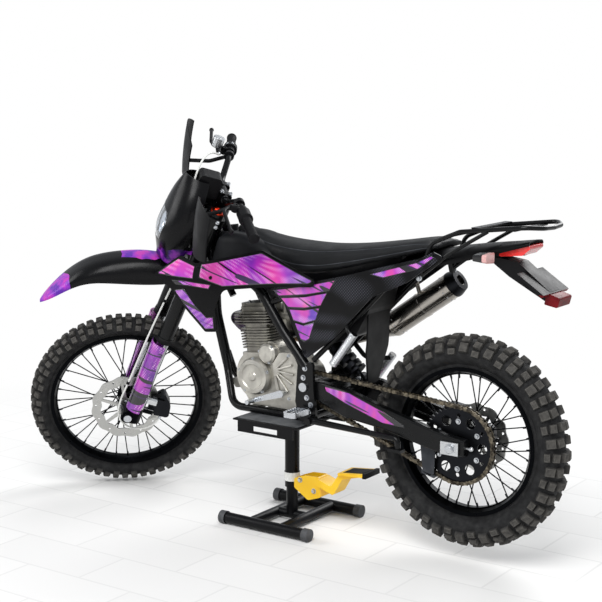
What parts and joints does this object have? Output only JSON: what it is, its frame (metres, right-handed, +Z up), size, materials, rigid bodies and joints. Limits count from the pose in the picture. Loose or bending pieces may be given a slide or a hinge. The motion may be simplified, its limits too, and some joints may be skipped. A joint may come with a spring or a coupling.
{
  "type": "dirt bike on a lift stand",
  "caption": "Off-road motorcycle with air-cooled engine, wire wheels, high fenders and a tail rack, standing on a pedal lift stand with its steering at the stop.",
  "frame": {"origin": "on the floor under the middle of the lift stand's post", "axes": "+X towards the rear of the bike, +Y to the rider's right, +Z up"},
  "size_m": [2.0127, 0.7178, 1.3567],
  "materials": {
    "frame_black": "satin black paint",
    "engine_silver": "silver painted castings",
    "bare_aluminium": "satin",
    "steel": "zinc plated and brushed",
    "exhaust_steel": "warm stainless",
    "chain_steel": "brassy chain steel",
    "black_plastic": "moulded black",
    "purple_plastic": "violet and magenta film",
    "grey_plastic": "dark grey",
    "seat_cover": "grained vinyl",
    "rubber": "matt",
    "tyre": "matt",
    "rim_black": "gloss black",
    "lamp_red": "clear red",
    "lens": "clear",
    "stand_black": "black powder coat",
    "stand_yellow": "yellow powder coat"
  },
  "bodies": {
    "root": {"main_frame": "frame_black", "subframe": "frame_black", "crankcase": "engine_silver", "cylinder_barrel": "engine_silver", "cylinder_head": "engine_silver", "engine_covers": "engine_silver", "carburettor": "bare_aluminium", "airbox": "black_plastic", "exhaust_header": "exhaust_steel", "muffler": "exhaust_steel", "fuel_tank": "grey_plastic", "seat": "seat_cover", "shroud_left": "purple_plastic", "shroud_right": "purple_plastic", "side_panel_left": "black_plastic", "side_panel_right": "black_plastic", "rear_fender": "black_plastic", "rear_lamps": "lamp_red", "plate_hanger": "black_plastic", "luggage_rack": "frame_black", "swingarm": "frame_black", "shock_absorber": "steel", "pivot_bolts": "steel", "rear_axle": "steel", "rear_caliper": "grey_plastic", "drive_chain": "chain_steel", "footpegs": "steel", "foot_levers": "steel", "passenger_pegs": "frame_black", "lift_stand_base": "stand_black", "lift_stand_post": "stand_black", "lift_stand_deck": "stand_black", "lift_stand_pedal": "stand_yellow"},
    "steering": {"triple_clamps": "frame_black", "fork_tubes": "frame_black", "fork_sliders": "bare_aluminium", "fork_guards": "purple_plastic", "front_axle": "steel", "front_caliper": "bare_aluminium", "handlebar": "frame_black", "bar_clamps": "bare_aluminium", "grips": "rubber", "hand_controls": "frame_black", "hand_guards": "black_plastic", "instrument": "black_plastic", "headlamp_mask": "black_plastic", "headlamp": "lens", "front_fender": "black_plastic", "brake_hose": "steel"},
    "front_wheel": {"front_tyre": "tyre", "front_wheel": "rim_black", "front_disc": "steel"},
    "rear_wheel": {"rear_tyre": "tyre", "rear_wheel": "rim_black", "rear_disc": "steel", "rear_sprocket": "rim_black"},
    "side_stand": {"side_stand": "frame_black"}
  },
  "joints": [
    {"name": "steering", "type": "hinge", "parent": "root", "child": "steering", "pos_m": [-0.68464, 0, 0.32469], "axis": [-0.4571, 0, -0.8894], "range_deg": [0, 91.4]},
    {"name": "front_wheel_spin", "type": "hinge", "parent": "steering", "child": "front_wheel", "pos_m": [-0.71632, -0.0365, 0.34097], "axis": [-0.6365, 0.6984, 0.3271], "continuous": true},
    {"name": "rear_wheel_spin", "type": "hinge", "parent": "root", "child": "rear_wheel", "pos_m": [0.677, 0, 0.386], "axis": [0, 1, 0], "continuous": true},
    {"name": "side_stand_fold", "type": "hinge", "parent": "root", "child": "side_stand", "pos_m": [0.162, -0.13, 0.402], "axis": [0, 1, 0], "range_deg": [0, 95]}
  ]
}
